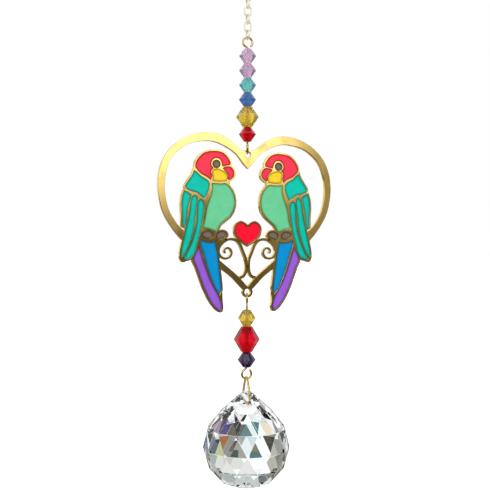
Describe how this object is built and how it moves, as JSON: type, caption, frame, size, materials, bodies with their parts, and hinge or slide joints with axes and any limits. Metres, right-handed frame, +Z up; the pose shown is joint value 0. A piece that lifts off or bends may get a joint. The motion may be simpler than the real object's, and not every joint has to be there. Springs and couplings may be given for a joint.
{
  "type": "crystal suncatcher",
  "caption": "Hanging suncatcher: beaded gilt pins, a gilt heart with enamelled birds, and a clear faceted crystal ball.",
  "frame": {"origin": "where the hanging ring rests on its hook, at the top of the inside of the ring", "axes": "+Z up along the strand, the enamelled face of the panel looks along -Y"},
  "size_m": [0.0428, 0.0198, 0.124],
  "materials": {
    "brass": "thin polished gilding",
    "lilac_glass": "polished, see-through",
    "aqua_glass": "polished, see-through",
    "blue_glass": "polished, see-through",
    "yellow_glass": "polished, see-through",
    "red_glass": "polished, see-through",
    "violet_glass": "polished, see-through",
    "clear_crystal": "polished, clear",
    "red_enamel": "glossy enamel fill",
    "yellow_enamel": "glossy enamel fill",
    "teal_enamel": "glossy enamel fill",
    "green_enamel": "glossy enamel fill",
    "brown_enamel": "glossy enamel fill",
    "blue_enamel": "glossy enamel fill",
    "purple_enamel": "glossy enamel fill"
  },
  "bodies": {
    "root": {"hanging_ring": "brass", "chain_link_1": "brass", "chain_link_2": "brass", "chain_link_3": "brass", "chain_link_4": "brass", "chain_link_5": "brass", "chain_link_6": "brass", "chain_link_7": "brass", "upper_pin": "brass", "heart_panel": "brass", "lower_pin": "brass", "ball_clip": "brass", "bead_lilac_upper": "lilac_glass", "bead_lilac_lower": "lilac_glass", "bead_aqua": "aqua_glass", "bead_sapphire": "blue_glass", "bead_yellow": "yellow_glass", "bead_yellow_small": "yellow_glass", "bead_red": "red_glass", "bead_red_large": "red_glass", "bead_violet": "violet_glass", "crystal_ball": "clear_crystal", "enamel_head_left": "red_enamel", "enamel_head_right": "red_enamel", "enamel_beak_left": "red_enamel", "enamel_beak_right": "red_enamel", "enamel_heart": "red_enamel", "enamel_chin_left": "yellow_enamel", "enamel_chin_right": "yellow_enamel", "enamel_shoulder_left": "teal_enamel", "enamel_shoulder_right": "teal_enamel", "enamel_outer_feather_left": "teal_enamel", "enamel_outer_feather_right": "teal_enamel", "enamel_middle_feather_left": "teal_enamel", "enamel_middle_feather_right": "teal_enamel", "enamel_inner_feather_left": "teal_enamel", "enamel_inner_feather_right": "teal_enamel", "enamel_breast_left": "green_enamel", "enamel_breast_right": "green_enamel", "enamel_eye_left": "brown_enamel", "enamel_eye_right": "brown_enamel", "enamel_outer_foot_left": "brown_enamel", "enamel_outer_foot_right": "brown_enamel", "enamel_inner_foot_left": "brown_enamel", "enamel_inner_foot_right": "brown_enamel", "enamel_blue_tail_left": "blue_enamel", "enamel_blue_tail_right": "blue_enamel", "enamel_purple_tail_left": "purple_enamel", "enamel_purple_tail_right": "purple_enamel"}
  },
  "joints": []
}
